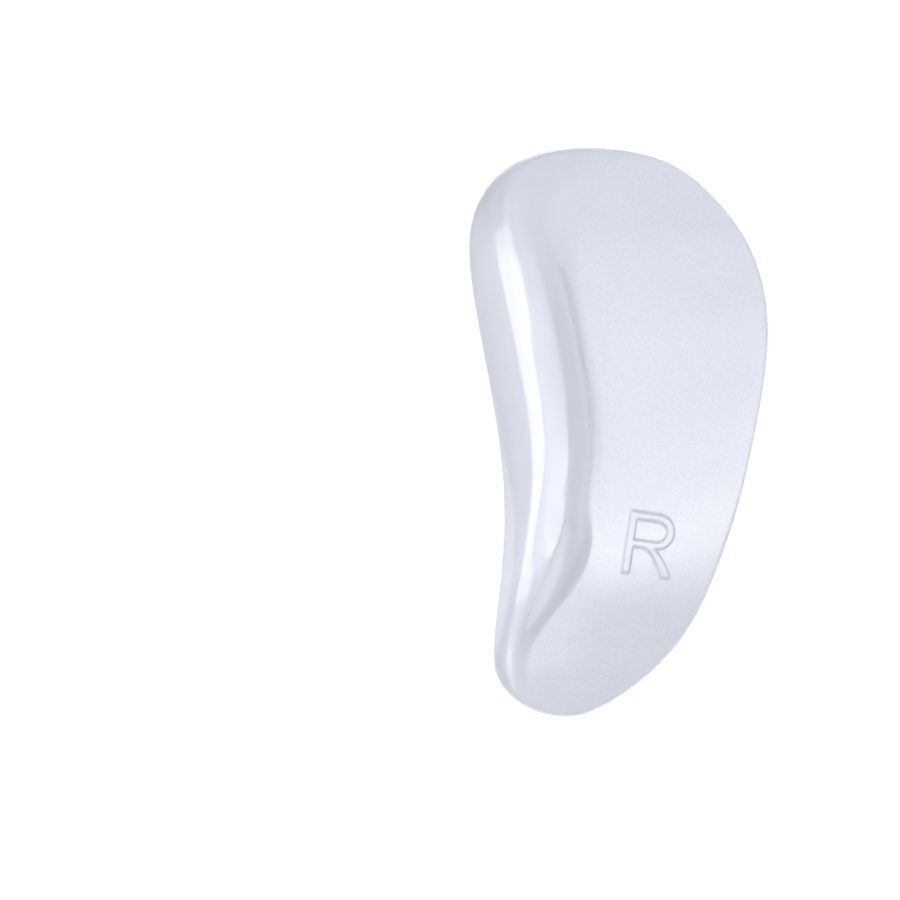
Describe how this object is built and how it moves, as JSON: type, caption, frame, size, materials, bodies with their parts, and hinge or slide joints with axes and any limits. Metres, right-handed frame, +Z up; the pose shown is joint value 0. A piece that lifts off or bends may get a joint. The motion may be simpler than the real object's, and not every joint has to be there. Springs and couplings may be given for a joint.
{
  "type": "gel arch support pad",
  "caption": "Clear moulded gel pad for the right foot: a raised roll along the arch side, a cove beside it and a broad thin panel on a flat underside.",
  "frame": {"origin": "middle of the pad's outline, on the flat underside", "axes": "+Y towards the toes, along the pad; +X towards the outer side of the foot, so the raised arch roll is on -X; +Z up, away from the shoe's insole"},
  "size_m": [0.0504, 0.095, 0.0124],
  "materials": {
    "gel": "clear, faintly milky and bluish gel, glossy on the roll and finely dimpled on the panel"
  },
  "bodies": {
    "root": {"gel_pad": "gel"}
  },
  "joints": []
}
